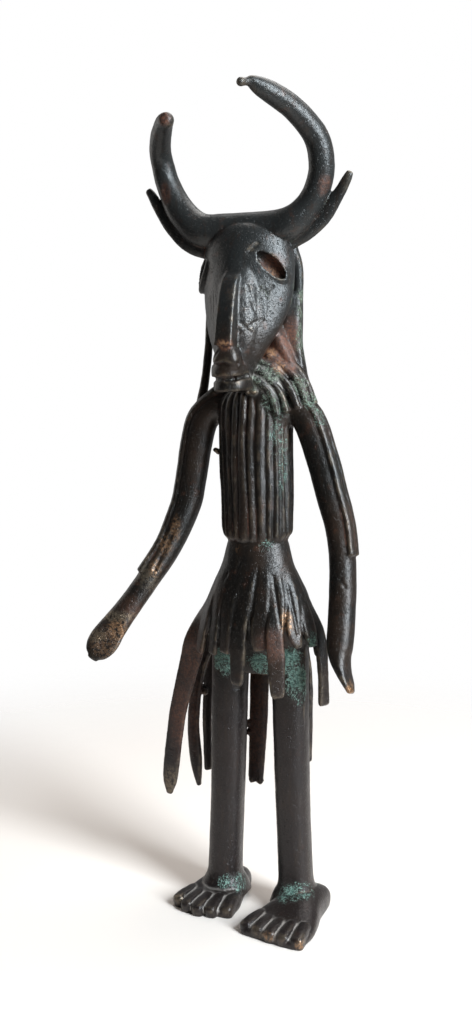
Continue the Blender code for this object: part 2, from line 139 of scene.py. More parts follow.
def stacked(rows, sides, steps, shape, lift=None):
    # level rings: shape gives the x and y of a row at an angle from the front, lift its rise
    bm = bmesh.new()
    loops = []
    for row in curvedRows(rows, steps):
        ring = bmesh.ops.create_circle(bm, segments=sides, radius=1.0)["verts"]
        for index, vert in enumerate(ring):
            angle = index * math.tau / sides
            x, y = shape(row, angle)
            vert.co = (x, y, row[0] + (lift(row, angle) if lift else 0.0))
        loops.append(list({edge for vert in ring for edge in vert.link_edges}))
    return closeLoft(bm, loops)


def blob(centre, size, seed=0, rough=0.25):
    # a crumb or a bead of metal left by the casting
    bm = bmesh.new()
    bmesh.ops.create_icosphere(bm, subdivisions=3, radius=1.0)
    for vert in bm.verts:
        bump = noise.noise(vert.co * 1.7 + Vector((seed, 0.0, 0.0)))
        vert.co = [c + s * v * (1.0 + rough * bump) for c, s, v in zip(centre, size, vert.co)]
    mesh = bpy.data.meshes.new("part")
    bm.to_mesh(mesh)
    bm.free()
    return mesh


def wave(x, y=0.0, z=0.0):
    return noise.noise(Vector((x, y, z)))


# Torso and cape: a costume of long strands

torsoLook = {"strands": 26, "groove": 1.5, "sway": 0.26, "hem": 2.2, "halfWidth": 15.2, "halfDepth": 11.0}


def strandRing(row, angle, strands, groove, sway, seed):
    # row is level, centre x and y, half width, half depth and the share of the groove
    around = Vector((math.sin(angle) * 2.6, math.cos(angle) * 2.6 + seed, row[0] * 0.028))
    turn = angle / math.tau * strands + sway * (noise.noise(around) + 0.6 * noise.noise(around * 2.3))
    dip = abs(turn % 1.0 - 0.5) * 2.0
    number = math.floor(turn) % strands
    depth = groove * (0.85 + 0.7 * wave(number * 3.7, row[0] * 0.03, seed)) * row[5]
    cut = depth * (0.25 * dip + 0.75 * dip ** 3) - 0.35 * row[5] * wave(number * 5.1, 2.0, seed)
    return (row[1] + (row[3] - cut) * math.sin(angle), row[2] - (row[4] - cut) * math.cos(angle))


def torso():
    wide, deep = torsoLook["halfWidth"], torsoLook["halfDepth"]
    rows = [
        (waist - 2.5, 1.8, 0.0, wide * 0.76, deep * 0.80, 0.0),
        (waist + 1.2, 1.7, 0.0, wide * 0.84, deep * 0.86, 0.3),
        (waist + 3.4, 1.5, 0.0, wide * 0.95, deep * 0.95, 1.0),
        (waist + 7.0, 1.4, 0.0, wide * 0.97, deep * 0.97, 1.0),
        (waist + 20.0, 1.2, 0.0, wide * 0.985, deep, 1.0),
        (armpit - 12.0, 0.8, 0.0, wide, deep, 1.0),
        (armpit, 0.7, 0.0, wide, deep, 1.0),
        (shoulder - 5.0, 0.6, 0.0, wide * 1.02, deep * 0.97, 1.0),
        (shoulder, 0.4, 0.0, wide * 0.90, deep * 0.90, 0.8),
        (shoulder + 4.5, 0.2, 0.0, wide * 0.60, deep * 0.70, 0.1),
    ]
    look = torsoLook

    def shape(row, angle):
        return strandRing(row, angle, look["strands"], look["groove"], look["sway"], 1.0)

    def hem(row, angle):  # an uneven lower edge that hangs deepest in front
        share = max(0.0, 1.0 - abs(row[0] - waist - 2.6) / 7.0)
        ragged = 0.5 * wave(round(angle / math.tau * look["strands"]) * 2.3, 4.0)
        return share * look["hem"] * (ragged - 0.9 * max(0.0, math.cos(angle)))

    return [stacked(rows, look["strands"] * 12, 7, shape, hem)]


capeLook = {"strands": 20, "groove": 1.3, "sway": 0.3, "halfWidth": 15.6}


def cape():
    wide = capeLook["halfWidth"]
    rows = [
        (shoulder - 13.0, 0.6, 1.6, wide * 0.84, 8.0, 0.0),
        (shoulder - 4.0, 0.4, 2.4, wide * 1.04, 8.8, 1.0),
        (chin + 4.0, 0.2, 4.4, wide * 0.98, 8.4, 1.0),
        (chin + 16.0, 0.0, 5.8, wide * 0.96, 8.4, 1.0),
        (chin + 32.0, -0.4, 6.0, wide, 9.0, 1.0),
        (eye - 1.0, -0.6, 5.4, wide * 1.06, 9.4, 1.0),
        (brow - 3.0, -0.8, 4.0, wide * 0.94, 8.0, 0.6),
        (brow + 3.0, -0.8, 1.0, wide * 0.60, 5.0, 0.0),
    ]
    look = capeLook

    def shape(row, angle):
        turned = math.cos(angle)  # the front, behind the mask, is left smooth
        calm = row.copy()
        calm[5] *= min(1.0, max(0.0, 0.55 - turned) * 2.0)
        return strandRing(calm, angle, look["strands"], look["groove"], look["sway"], 5.0)

    left = [
        (14.8, 1.5, brow - 6.0, 2.4, 2.2),
        (16.6, 4.0, eye - 1.0, 2.1, 2.0),
        (16.4, 5.5, chin + 34.0, 1.9, 1.9),
        (16.2, 6.0, chin + 17.0, 2.0, 2.0),
        (18.8, 4.2, chin + 5.0, 2.3, 2.0),
        (23.4, 2.0, shoulder - 3.0, 2.3, 1.8),
    ]
    right = [
        (-17.0, 1.5, brow - 8.0, 2.6, 2.2),
        (-20.4, 3.5, eye + 1.0, 2.4, 2.0),
        (-20.8, 5.0, chin + 32.0, 1.9, 1.8),
        (-21.8, 5.0, chin + 16.0, 1.7, 1.7),
        (-23.2, 4.0, chin + 2.0, 1.9, 1.8),
        (-25.0, 2.0, shoulder - 7.0, 2.2, 1.8),
    ]
    neck = [  # the throat, a wall behind the cheek and the collar below it
        limb([(4.5, 0.5, 202.0, 13.5, 9.4), (5.6, -0.6, 210.0, 11.4, 9.0), (7.2, -0.8, 216.5, 8.6, 8.0),
              (8.6, 0.6, 222.0, 6.0, 6.6), (9.6, 2.0, 226.0, 4.0, 5.0)], sides=40, roundness=0.9),
        limb([(14.8, 4.2, 246.0, 3.4, 2.6, 20.0), (14.6, 2.6, 236.0, 3.8, 2.8, 14.0),
              (15.4, 1.6, 226.0, 4.2, 3.0, 6.0), (17.0, 1.4, 216.0, 4.4, 3.0, 2.0)],
             sides=28, roundness=0.6, turned=True),
        limb([(9.0, -1.2, 236.0, 2.2, 2.4, -24.0), (10.4, -1.8, 229.0, 3.6, 2.8, -26.0),
              (13.2, -1.0, 221.0, 4.6, 3.0, -20.0), (15.6, -0.4, 213.0, 4.6, 3.0, -10.0)],
             sides=28, roundness=0.6, turned=True),
    ]
    collar = [  # strands that run from under the cheek over the left shoulder
        [(2.4, -9.4, 215.0, 1.3), (6.6, -9.2, 212.4, 1.4), (10.6, -8.4, 207.4, 1.5), (12.6, -8.2, 201.0, 1.3)],
        [(4.6, -8.8, 218.4, 1.3), (8.8, -8.2, 214.4, 1.4), (13.4, -7.2, 209.0, 1.5), (15.8, -6.6, 202.0, 1.3)],
        [(6.3, -7.6, 221.0, 1.2), (11.7, -6.6, 216.8, 1.5), (16.6, -5.6, 211.4, 1.6), (19.6, -4.8, 204.0, 1.4)],
        [(8.2, -6.2, 223.4, 1.2), (14.3, -4.8, 219.0, 1.5), (19.4, -3.8, 213.4, 1.7), (22.6, -3.4, 205.6, 1.5)],
        [(12.6, -3.4, 223.0, 1.2), (17.6, -2.2, 219.0, 1.6), (21.8, -1.8, 213.0, 1.8), (25.2, -1.6, 205.4, 1.6)],
    ]
    strands = [limb([(*row, row[3] * 0.9) for row in rows], sides=16) for rows in collar]
    strands += neck + [limb(left, sides=16), limb(right, sides=16)]
    return [stacked(rows, look["strands"] * 10, 6, shape)] + strands


# Mask: two flat cheeks that meet in a long muzzle, under a domed brow

# an eye's hole and rim each have a half length, half width, half depth and sink
maskLook = {"turnRight": 6.0, "eyeHole": (7.5, 3.1, 3.4, 0.0), "eyeRim": (8.9, 4.7, 2.6, 0.6)}
eyePlaces = [
    (1.0, Vector((12.8, -9.8, eye - 1.2)), Vector((0.62, -0.76, 0.18)).normalized()),
    (-1.0, Vector((-17.6, -7.0, eye - 2.8)), Vector((-0.78, -0.60, 0.14)).normalized()),
]


def eyeOval(place, length, width, depth, sink):
    side, centre, outward = place
    slant = Vector((side * 0.57, 0.46, -0.68))
    long = (slant - outward * slant.dot(outward)).normalized()
    turn = Matrix((long, outward.cross(long), outward)).transposed().to_4x4()
    bm = bmesh.new()
    bmesh.ops.create_uvsphere(bm, u_segments=40, v_segments=20, radius=1.0)
    bm.transform(Matrix.Translation(centre - outward * sink) @ turn @ Matrix.Diagonal((length, width, depth, 1.0)))
    mesh = bpy.data.meshes.new("part")
    bm.to_mesh(mesh)
    bm.free()
    return mesh


def mask():
    # level, half width, front, edge, back, flatness of the cheeks
    rows = [
        (chin - 0.6, 4.2, -19.6, -13.0, -9.0, 1.1),
        (chin + 1.5, 5.2, -20.6, -12.5, -8.0, 1.1),
        (chin + 7.0, 6.6, -21.2, -12.0, -7.0, 1.2),
        (chin + 13.0, 9.8, -21.3, -11.0, -4.0, 1.4),
        (chin + 21.0, 14.3, -21.0, -8.5, 0.0, 1.5),
        (chin + 28.0, 17.0, -20.0, -5.5, 3.0, 1.45),
        (chin + 35.0, 18.8, -18.8, -3.6, 6.0, 1.4),
        (eye - 3.0, 19.3, -17.4, -3.0, 8.0, 1.3),
        (eye + 4.0, 18.6, -16.2, -3.0, 8.5, 1.15),
        (eye + 10.0, 16.6, -14.8, -3.0, 8.0, 1.05),
        (brow + 1.0, 12.4, -12.6, -3.0, 6.5, 1.0),
        (brow + 3.2, 7.0, -9.4, -3.0, 3.0, 1.0),
    ]

    def shape(row, angle):
        x, y = math.sin(angle), math.cos(angle)
        flat = row[5] if y > 0.0 else 1.0
        reach = (row[3] - row[2]) if y > 0.0 else (row[4] - row[3])
        x = math.copysign(abs(x) ** flat, x) * row[1]
        y = row[3] - math.copysign(abs(y) ** flat, y) * reach
        return x, y

    bar = [
        (1.1, -13.6, eye + 1.0, 2.6, 1.2),
        (1.0, -16.2, eye - 5.0, 3.2, 2.0),
        (1.0, -19.0, eye - 9.5, 3.5, 3.0),
        (0.9, -21.3, chin + 28.0, 3.7, 3.3),
        (0.4, -22.7, chin + 16.2, 3.9, 3.0),
    ]
    ridge = [
        (1.4, -13.2, eye + 2.0, 4.4, 2.4),
        (1.4, -12.8, eye - 6.0, 7.6, 6.0),
        (1.4, -12.6, chin + 34.0, 8.6, 8.2),
        (1.2, -12.4, chin + 20.0, 8.8, 8.8),
        (0.8, -13.6, chin + 9.0, 5.6, 6.6),
    ]
    nose = [
        (0.2, -21.8, chin + 16.6, 2.4, 2.2),
        (0.5, -22.0, chin + 15.0, 4.3, 3.1),
        (0.8, -22.0, chin + 13.0, 5.2, 3.8),
        (0.9, -21.8, chin + 11.0, 5.5, 4.1),
        (0.9, -20.8, chin + 9.2, 5.4, 3.8),
    ]
    upper = [(-5.0, -15.0, 6.9), (-4.9, -18.8, 7.0), (-3.0, -21.8, 7.2), (0.2, -23.0, 7.2), (2.8, -21.9, 7.0),
             (4.0, -18.8, 6.9), (4.2, -15.0, 6.9)]
    lower = [(-4.9, -14.0, 1.9), (-4.7, -17.8, 1.9), (-2.8, -20.6, 1.8), (0.3, -21.8, 1.8), (3.4, -20.6, 1.9),
             (4.9, -17.8, 2.2), (5.2, -14.0, 2.6)]
    made = [
        stacked(rows, 96, 5, shape),
        limb(bar, sides=28, roundness=0.36, ends=(1.0, 0.0)),
        limb(ridge, sides=36, roundness=1.0),
        limb(nose, sides=28, roundness=0.75, ends=(1.0, 0.3)),
        limb([(x, y, chin + z, 2.3, 2.9) for x, y, z in upper], sides=28, facing=upWay, roundness=0.6),
        limb([(x, y, chin + z, 2.2, 2.6) for x, y, z in lower], sides=28, facing=upWay, roundness=0.5),
    ]
    made += [eyeOval(place, *maskLook["eyeRim"]) for place in eyePlaces]
    holes = [eyeOval(place, *maskLook["eyeHole"]) for place in eyePlaces]
    turn = Matrix.Translation((-1.0, 0.0, 0.0)) @ Matrix.Rotation(math.radians(-maskLook["turnRight"]), 4, "Z")
    for mesh in made + holes:
        mesh.transform(turn)
    return made, holes


# Horns and ears

hornLook = {"thick": 4.8}


def horns():
    thick = hornLook["thick"]
    spread = [
        (-22.8, -30.8, 37.3, 0.60),
        (-24.9, -27.8, 37.5, 0.68),
        (-27.5, -24.0, 36.7, 0.77),
        (-31.5, -17.8, 34.1, 0.85),
        (-34.3, -12.0, 30.0, 0.89),
        (-34.4, -8.8, 24.4, 0.94),
        (-33.0, -7.2, 18.4, 1.00),
        (-28.4, -6.0, 8.8, 1.17),
        (-20.4, -5.6, 1.7, 1.32),
        (-9.0, -4.8, 0.6, 1.36),
        (9.0, -4.8, 0.6, 1.36),
        (17.4, -5.8, 2.2, 1.28),
        (23.6, -6.2, 7.2, 1.08),
        (27.8, -7.0, 13.6, 1.04),
        (30.0, -9.0, 21.0, 1.02),
        (29.4, -12.0, 29.4, 0.98),
        (26.6, -16.0, 34.9, 0.92),
        (22.6, -21.0, 39.6, 0.88),
        (18.8, -26.0, 42.5, 0.84),
        (15.0, -31.0, 44.6, 0.72),
        (12.3, -34.4, 46.0, 0.48),
        (10.9, -36.2, 45.8, 0.28),
        (9.4, -38.0, 45.4, 0.34),
    ]
    rows = [(x, y, brow + rise, thick * share, thick * share) for x, y, rise, share in spread]
    return [limb(rows, sides=28, steps=5, facing=upWay)]


def ears():
    left = [
        (12.0, -2.0, brow - 4.8, 4.2, 2.6),
        (22.0, -3.6, brow - 0.8, 4.2, 2.4),
        (29.6, -4.6, brow + 4.4, 3.6, 2.0),
        (35.2, -5.6, brow + 10.8, 2.5, 1.6),
        (38.8, -6.6, brow + 16.0, 1.9, 1.5),
        (39.9, -7.0, brow + 17.8, 1.5, 1.2),
    ]
    right = [
        (-12.0, -2.0, brow - 6.8, 4.2, 2.6),
        (-24.0, -3.6, brow - 3.6, 4.2, 2.4),
        (-31.6, -4.8, brow + 2.0, 3.2, 2.0),
        (-36.8, -6.0, brow + 8.8, 2.4, 1.6),
        (-40.4, -6.8, brow + 15.2, 1.9, 1.5),
        (-41.8, -7.0, brow + 17.2, 1.6, 1.3),
    ]
    return [limb(left, sides=20), limb(right, sides=20)]


# Arms, with strands of the costume laid along them

armLook = {"thick": 5.3, "strandHalfWidth": 1.9, "strandHalfThickness": 1.4, "strandOut": 1.0}


def arms():
    thick = armLook["thick"]
    right = [
        (-7.0, 1.0, shoulder - 2.6, 1.00, 1.00),
        (-15.4, 0.8, shoulder - 2.8, 1.16, 1.10),
        (-21.6, 0.2, shoulder - 8.6, 1.12, 1.08),
        (-24.6, 0.0, armpit - 6.0, 1.10, 1.06),
        (-27.0, 0.0, waist + 22.0, 1.08, 1.04),
        (-29.2, -1.0, waist + 11.5, 1.06, 1.04),
        (-34.6, -6.0, waist - 4.2, 0.94, 0.92),
        (-40.6, -12.0, waist - 16.0, 0.90, 0.84),
        (-46.2, -17.0, waist - 26.0, 0.92, 0.74),
        (-50.8, -21.6, waist - 33.8, 1.06, 0.56),
        (-53.4, -24.2, waist - 38.6, 1.22, 0.44),
        (-55.2, -25.9, waist - 41.8, 1.22, 0.38),
        (-56.5, -27.1, waist - 44.2, 1.08, 0.32),
        (-57.4, -27.9, waist - 46.0, 0.82, 0.28),
        (-57.9, -28.3, waist - 47.0, 0.48, 0.22),
    ]
    left = [
        (7.0, 1.0, shoulder - 3.0, 0.95, 1.00),
        (15.2, 0.8, shoulder - 3.0, 1.12, 1.06),
        (22.0, 0.2, shoulder - 8.6, 1.10, 1.08),
        (27.6, 0.0, armpit - 9.0, 1.08, 1.06),
        (32.4, -1.0, waist + 17.6, 1.06, 1.04),
        (35.8, -2.2, waist + 7.0, 1.02, 1.02),
        (37.8, -3.6, waist - 4.0, 0.98, 1.00),
        (38.8, -6.0, waist - 20.6, 1.00, 0.98),
        (39.2, -10.0, waist - 36.8, 0.98, 1.00),
        (39.8, -11.6, waist - 42.6, 0.76, 1.00),
        (41.6, -13.2, waist - 47.2, 0.52, 0.98),
        (43.8, -14.6, waist - 51.2, 0.35, 0.88),
        (44.9, -15.3, waist - 53.4, 0.27, 0.58),
    ]
    made = []
    for table, side, strands in (
        (right, -1.0, ((-4.0, 7), (36.0, 7), (-50.0, 6))),
        (left, 1.0, ((-8.0, 6), (30.0, 6), (-50.0, 5))),
    ):
        rows = [(x, y, z, wide * thick, deep * thick) for x, y, z, wide, deep in table]
        made.append(limb(rows, sides=28))
        made += [armStrand(rows, side, lean, last) for lean, last in strands]
    return made


def armStrand(arm, side, lean, last):
    # a strand down an arm to its given section, leaning from the outer side to the front
    half = armLook["strandHalfWidth"]
    thick = armLook["strandHalfThickness"]
    turn = math.radians(lean)
    rows = []
    for index in range(1, last + 1):
        here = Vector(arm[index][:3])
        along = (Vector(arm[index + 1][:3]) - Vector(arm[index - 1][:3])).normalized()
        across = along.cross(frontWay).normalized()
        if across.x * side < 0.0:
            across.negate()
        front = (frontWay - along * frontWay.dot(along)).normalized()
        out = across * math.cos(turn) * arm[index][3] + front * math.sin(turn) * arm[index][4]
        rows.append((*(here + out * armLook["strandOut"]), half, thick, (90.0 - lean) * side))
    start = rows[0]
    rows.insert(0, (start[0] * 0.72, start[1] + 0.6, start[2] + 1.6, half, thick, start[5]))
    return limb(rows, sides=20, steps=5, roundness=0.8, ends=(1.0, 0.5), turned=True)


# Hips and skirt: a fringe of flat strips of many lengths round a hip block

skirtLook = {"halfThickness": 1.15, "fused": 0.85, "overlap": 8.0, "twist": 16.0, "cover": 0.176}
fusedShares = (0.0, 0.6, 1.0, 1.0, 1.0, 1.0, 0.45, 0.0, 0.0, 0.0, 0.0)  # one for each hip row

# level, centre x, half width and half depth
hipRows = [
    (waist + 1.5, 1.8, 11.6, 9.0),
    (waist - 2.5, 1.8, 12.4, 9.5),
    (crotch + 39.0, 1.8, 14.0, 10.7),
    (crotch + 32.0, 1.9, 17.2, 12.0),
    (crotch + 25.0, 2.0, 20.2, 12.8),
    (crotch + 18.0, 2.2, 22.2, 12.6),
    (crotch + 11.0, 2.4, 22.0, 10.8),
    (crotch + 6.0, 2.5, 20.8, 8.9),
    (crotch + 2.0, 2.6, 19.9, 7.7),
    (crotch - 2.0, 2.6, 19.2, 6.9),
    (crotch - 4.5, 2.6, 17.8, 6.2),
]

# each strip: its angle round the waist, the way its free part faces, and that part's
# rows of x, y, height over the crotch and half width
fringe = {
    "sideRight": (-76, -8, [(-24.0, -3.0, 8, 4.7), (-27.8, -1.5, -4, 4.7), (-34.0, 0.5, -25, 4.0),
                            (-37.4, 1, -48, 3.8), (-38.2, 1, -56, 3.4), (-38.4, 1, -61, 1.5)]),
    "secondRight": (-112, -12, [(-21.8, 8, 6, 2.8), (-27.6, 9, -8, 2.6), (-30.8, 9, -30, 2.8),
                                 (-29.8, 9, -48, 3.0), (-28.4, 9, -59, 1.0)]),
    "thirdRight": (-136, -140, [(-18.8, 11.5, 6, 2.6), (-24.4, 12, -8, 2.2), (-25.8, 12, -30, 2.0),
                                (-25.4, 12, -52.5, 1.7)]),
    "backRight": (-158, -165, [(-8.6, 13.8, 6, 3.4), (-12.8, 14.3, -22, 3.2), (-14.0, 14.6, -54, 2.6)]),
    "backMiddle": (180, 180, [(-1.4, 14.2, 6, 3.8), (-2.4, 13.6, -9, 4.2), (-2.8, 13.2, -30, 4.0),
                              (-3.9, 13.2, -54, 3.4)]),
    "backLeft": (158, 165, [(10.4, 13.8, 6, 3.4), (12.2, 14.3, -22, 3.2), (12.8, 14.6, -50, 2.6)]),
    "thirdLeft": (136, 140, [(17.6, 11.2, 6, 2.6), (19.4, 12, -8, 2.2), (19.8, 12, -26, 1.9),
                             (19.8, 12, -43, 1.5)]),
    "shortBackLeft": (114, 112, [(22.6, 6.6, 14, 2.8), (24.6, 7, 3, 2.0)]),
    "sideLeft": (92, 60, [(27.6, 0.4, 12, 2.8), (29.4, 0, -3, 2.5), (29.8, 0, -15, 2.6)]),
    "shortLeft": (73, 62, [(24.8, -4.6, 16, 3.2), (26.6, -4.8, 9.5, 2.2)]),
    "frontLeft": (54, 46, [(20.6, -9.6, 15, 3.4), (22.0, -9.8, 9.5, 1.8)]),
    "longFrontLeft": (32, 22, [(14.0, -13.8, 14, 3.4), (14.8, -14.2, 4, 3.5), (15.4, -14.2, -8, 2.9),
                               (15.6, -14.2, -10, 2.4)]),
    "middleFront": (12, 10, [(7.4, -14.2, 14, 3.3), (8.0, -14.2, 8, 2.7)]),
    "longFrontRight": (-8, -8, [(-0.8, -14.0, 14, 3.3), (-1.2, -14.2, 6, 3.3), (-1.6, -14.0, -5, 2.9),
                                (-1.7, -13.8, -6.6, 2.3)]),
    "shortFrontRight": (-26, -26, [(-6.8, -12.8, 14, 3.1), (-7.4, -12.6, 5.5, 2.8)]),
    "frontRight": (-45, -38, [(-12.8, -10.2, 14, 3.2), (-13.6, -10.2, 4, 2.8)]),
    "shortRight": (-61, -44, [(-18.4, -7.2, 14, 3.2), (-20.8, -6.6, 3.5, 2.6)]),
}

# a thin strand beside the left leg, and lumps of metal left on strips, arm and chin
threads = [
    [(22.0, -3.0, crotch + 8.0, 1.1, 0.9), (22.4, -3.4, crotch - 8.0, 1.0, 0.8),
     (21.8, -3.0, crotch - 26.0, 0.9, 0.8), (21.4, -2.6, crotch - 42.0, 0.7, 0.7)],
]
knobs = [
    ((-7.4, 12.6, 71.0), (1.6, 1.3, 1.7)),
    ((-7.2, 12.8, 67.2), (1.5, 1.2, 1.4)),
    ((-25.5, 9.0, 83.5), (1.4, 1.3, 1.6)),
    ((-5.7, 13.2, 47.0), (1.6, 1.3, 2.0)),
    ((-2.2, 13.2, 46.6), (1.7, 1.3, 1.8)),
    ((-16.0, -1.0, 186.5), (1.2, 1.1, 1.0)),
    ((-15.0, -0.6, 185.4), (1.0, 1.0, 0.9)),
    ((3.4, -10.2, 209.4), (1.5, 0.9, 0.8)),
    ((1.2, -10.0, 209.0), (0.9, 0.8, 0.7)),
]


def hipSpot(row, angle):
    return row[1] + row[2] * math.sin(angle), -row[3] * math.cos(angle)


def skirt():
    look = skirtLook
    thick = look["halfThickness"]
    # the strips are one skin as far as the hem, with shallow grooves between them
    bell = []
    for (level, middle, wide, deep), share in zip(hipRows, fusedShares):
        bell.append((level, middle, wide + look["fused"] * share, deep + look["fused"] * share))
    made = [stacked(bell, 96, 6, hipSpot)]
    for angle, facing, free in fringe.values():
        rows = []
        front = 1.0 if abs(angle) < 100 else 0.0
        for row, share, out in zip(hipRows[1:5], (1.0, 0.8, 0.5, 0.2), (-0.9, -0.45, -0.15, 0.0)):
            turn = math.radians(angle + look["twist"] * share * front)
            x, y = hipSpot(row, turn)
            face = math.degrees(math.atan2(math.sin(turn) / row[2], math.cos(turn) / row[3]))
            way = facingAt(face) * out
            reach = math.hypot(row[2] * math.cos(turn), row[3] * math.sin(turn)) * look["cover"]
            rows.append((x + way.x, y + way.y, row[0], reach, thick, face - look["overlap"] * front))
        rows += [(x, y, crotch + rise, half, thick, facing) for x, y, rise, half in free]
        made.append(limb(rows, sides=24, steps=6, roundness=0.6, turned=True))
    made += [limb(rows, sides=16, steps=5) for rows in threads]
    made += [blob(centre, size, seed) for seed, (centre, size) in enumerate(knobs)]
    return made


# Legs and feet

legLook = {"thick": 7.1, "toeHalfWidth": 2.62, "toeLength": 9.0, "toes": 5}


def legs():
    thick = legLook["thick"]
    made = []
    for low, high in ((-12.6, -9.8), (18.6, 15.0)):
        rows = []
        for share, level, swell in (
            (0.0, 3.0, 1.50),
            (0.01, ankle - 1.5, 1.26),
            (0.03, ankle + 2.0, 1.04),
            (0.10, ankle + 9.0, 0.97),
            (0.50, crotch * 0.5, 0.97),
            (0.80, crotch - 12.0, 1.02),
            (1.0, crotch + 14.0, 1.06),
        ):
            rows.append((low + (high - low) * share, 0.4, level, thick * swell, thick * swell))
        made.append(limb(rows, sides=40, steps=5, roundness=0.84, ends=(0.0, 0.0)))
    return made


def foot(heel, outer, inner, arch):
    # a flat slab whose toes show only at its front edge
    look = legLook
    heel, outer, inner = Vector(heel), Vector(outer), Vector(inner)
    front = (inner + outer) * 0.5
    across = (inner - outer).normalized()
    forward = (front - heel).normalized()
    half = (inner - outer).length * 0.5
    rows = []
    for share, wide, top in (
        (0.00, 4.4, 5.4),
        (0.05, 6.2, 7.6),
        (0.20, 7.6, 9.4),
        (0.38, 9.0, 10.2),
        (0.55, half * 0.80, 8.8),
        (0.72, half * 0.93, 6.6),
        (0.88, half * 0.96, 5.0),
        (1.00, half * 0.90, 3.9),
    ):
        spot = heel.lerp(front, share)
        rows.append((spot.x, spot.y, top * 0.3, wide, top * 0.7))
    made = [limb(rows, sides=40, steps=5, facing=upWay, roundness=0.85, ends=(1.0, 0.6))]
    for index in range(look["toes"]):
        share = (index + 0.5) / look["toes"]
        bow = forward * arch * math.sin(share * math.pi)
        tip = outer.lerp(inner, share) + bow - forward * look["toeHalfWidth"] * 0.6
        root = tip - forward * look["toeLength"] - across * (share - 0.5) * half * 0.30
        middle = root.lerp(tip, 0.55)
        wide = look["toeHalfWidth"] * (1.06 if index == look["toes"] - 1 else 1.0)
        made.append(limb([
            (root.x, root.y, 3.0, wide * 0.94, 2.9),
            (middle.x, middle.y, 2.6, wide, 3.1),
            (tip.x, tip.y, 1.9, wide * 0.97, 3.0),
        ], sides=28, steps=6, facing=upWay, roundness=0.62, ends=(1.0, 0.8)))
    return made


def feet():
    right = foot((-11.2, 14.2), (-29.2, -15.4), (-2.2, -17.4), 5.6)
    return right + foot((25.2, 11.0), (32.2, -32.1), (4.2, -26.4), 2.0)


# One casting from all the parts

castingLook = {
    "voxel": 0.0004,  # metres
    "fillet": 2,  # rounds of softening where parts meet
    "triangles": 196000,
    "crumb": 200,  # points, under which a loose shell is taken out
}


def objectFrom(mesh, name):
    made = bpy.data.objects.new(name, mesh)
    bpy.context.scene.collection.objects.link(made)
    return made


def joined(meshes, name):
    bm = bmesh.new()
    for mesh in meshes:
        bm.from_mesh(mesh)
        bpy.data.meshes.remove(mesh)
    mesh = bpy.data.meshes.new(name)
    bm.to_mesh(mesh)
    bm.free()
    return mesh


def applied(made):
    bpy.context.view_layer.update()
    graph = bpy.context.evaluated_depsgraph_get()
    mesh = bpy.data.meshes.new_from_object(made.evaluated_get(graph))
    made.modifiers.clear()
    old, made.data = made.data, mesh
    bpy.data.meshes.remove(old)


def remeshed(made, voxel, fillet):
    skin = made.modifiers.new("skin", "REMESH")
    skin.mode = "VOXEL"
    skin.voxel_size = voxel
    soft = made.modifiers.new("soft", "SMOOTH")
    soft.factor = 0.5
    soft.iterations = fillet
    applied(made)


def placeInFrame(mesh):
    mesh.transform(Matrix.Diagonal((mm, mm, mm, 1.0)) @ Matrix.Translation(footprintShift))


def castFigure():
    head, holes = mask()
    head = objectFrom(joined(head, "head"), "head")
    cutter = objectFrom(joined(holes, "holes"), "holes")
    placeInFrame(head.data)
    placeInFrame(cutter.data)
    remeshed(head, castingLook["voxel"], 0)
    cut = head.modifiers.new("eyes", "BOOLEAN")
    cut.operation = "DIFFERENCE"
    cut.solver = "EXACT"
    cut.object = cutter
    applied(head)
    bpy.data.objects.remove(cutter, do_unlink=True)
    print("mask with its eyes cut")
    body = joined(torso() + cape() + horns() + ears() + arms() + skirt() + legs() + feet(), "bronzeFigure")
    placeInFrame(body)
    bm = bmesh.new()
    bm.from_mesh(body)
    bm.from_mesh(head.data)
    bm.to_mesh(body)
    bm.free()
    bpy.data.objects.remove(head, do_unlink=True)
    figure = objectFrom(body, "bronzeFigure")
    remeshed(figure, castingLook["voxel"], castingLook["fillet"])
    print("one skin over all the parts:", len(figure.data.polygons), "faces")
    return figure


def standOnFloor(figure):
    bm = bmesh.new()
    bm.from_mesh(figure.data)
    everything = bm.verts[:] + bm.edges[:] + bm.faces[:]
    bmesh.ops.bisect_plane(bm, geom=everything, plane_co=(0, 0, 0), plane_no=(0, 0, -1), clear_outer=True)
    bmesh.ops.holes_fill(bm, edges=[edge for edge in bm.edges if edge.is_boundary], sides=0)
    bmesh.ops.triangulate(bm, faces=[face for face in bm.faces if len(face.verts) > 4])
    bmesh.ops.recalc_face_normals(bm, faces=bm.faces[:])
    bm.to_mesh(figure.data)
    bm.free()


def withoutCrumbs(figure):
    # tiny closed pockets left inside the metal are taken out, and no point goes under the floor
    bm = bmesh.new()
    bm.from_mesh(figure.data)
    seen, crumbs = set(), []
    for start in bm.verts:
        if start in seen:
            continue
        seen.add(start)
        part = [start]
        for vert in part:  # the list grows while it is read
            for edge in vert.link_edges:
                other = edge.other_vert(vert)
                if other not in seen:
                    seen.add(other)
                    part.append(other)
        if len(part) < castingLook["crumb"]:
            crumbs += part
    bmesh.ops.delete(bm, geom=crumbs, context="VERTS")
    for vert in bm.verts:
        vert.co.z = max(vert.co.z, 0.0)
    bm.to_mesh(figure.data)
    bm.free()
    print("crumbs taken out", len(crumbs))


def thinned(figure):
    count = sum(len(face.vertices) - 2 for face in figure.data.polygons)
    if count > castingLook["triangles"]:
        thin = figure.modifiers.new("thin", "DECIMATE")
        thin.ratio = castingLook["triangles"] / count
        applied(figure)
    print("triangles", sum(len(face.vertices) - 2 for face in figure.data.polygons))


